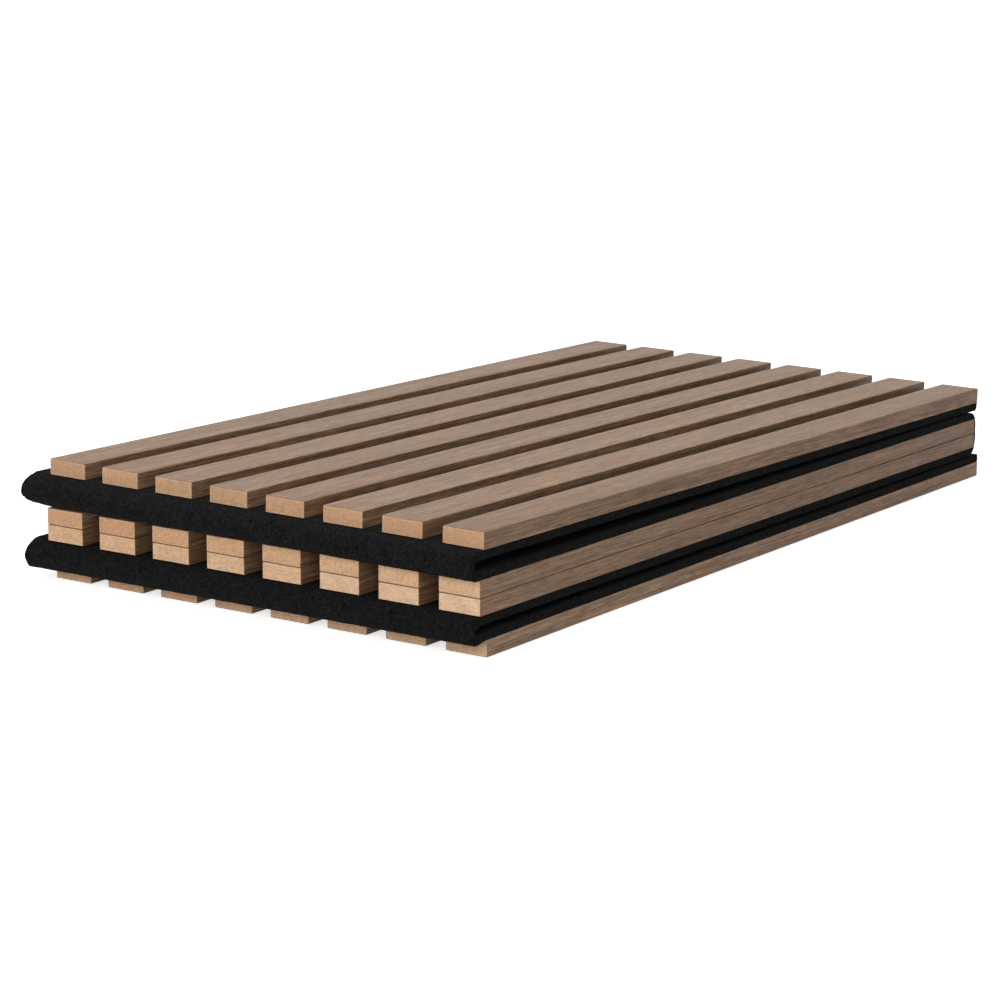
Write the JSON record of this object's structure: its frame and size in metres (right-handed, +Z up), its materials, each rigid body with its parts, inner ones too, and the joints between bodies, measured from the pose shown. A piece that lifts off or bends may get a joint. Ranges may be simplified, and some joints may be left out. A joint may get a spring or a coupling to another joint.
{
  "type": "acoustic slat wall panel",
  "caption": "Acoustic wall panel folded flat in a zigzag: wood-faced slats glued side by side to one strip of black felt.",
  "frame": {"origin": "middle of the folded pack's footprint, on the plane of the bottom leaf's slat faces that it rests on", "axes": "+X across the slats, away from the side where the felt stands out; +Y along the slats from the end with two folds to the end with one; +Z up"},
  "size_m": [0.32, 0.5892, 0.0716],
  "materials": {
    "black_felt": "matt, pressed polyester fibre",
    "wrapped_slat": "satin grey-brown walnut wrap on a fibreboard core, with bare sawn ends"
  },
  "bodies": {
    "root": {"felt_backing": "black_felt", "top_slat_1": "wrapped_slat", "top_slat_2": "wrapped_slat", "top_slat_3": "wrapped_slat", "top_slat_4": "wrapped_slat", "top_slat_5": "wrapped_slat", "top_slat_6": "wrapped_slat", "top_slat_7": "wrapped_slat", "top_slat_8": "wrapped_slat", "second_slat_1": "wrapped_slat", "second_slat_2": "wrapped_slat", "second_slat_3": "wrapped_slat", "second_slat_4": "wrapped_slat", "second_slat_5": "wrapped_slat", "second_slat_6": "wrapped_slat", "second_slat_7": "wrapped_slat", "second_slat_8": "wrapped_slat", "third_slat_1": "wrapped_slat", "third_slat_2": "wrapped_slat", "third_slat_3": "wrapped_slat", "third_slat_4": "wrapped_slat", "third_slat_5": "wrapped_slat", "third_slat_6": "wrapped_slat", "third_slat_7": "wrapped_slat", "third_slat_8": "wrapped_slat", "bottom_slat_1": "wrapped_slat", "bottom_slat_2": "wrapped_slat", "bottom_slat_3": "wrapped_slat", "bottom_slat_4": "wrapped_slat", "bottom_slat_5": "wrapped_slat", "bottom_slat_6": "wrapped_slat", "bottom_slat_7": "wrapped_slat", "bottom_slat_8": "wrapped_slat"}
  },
  "joints": []
}
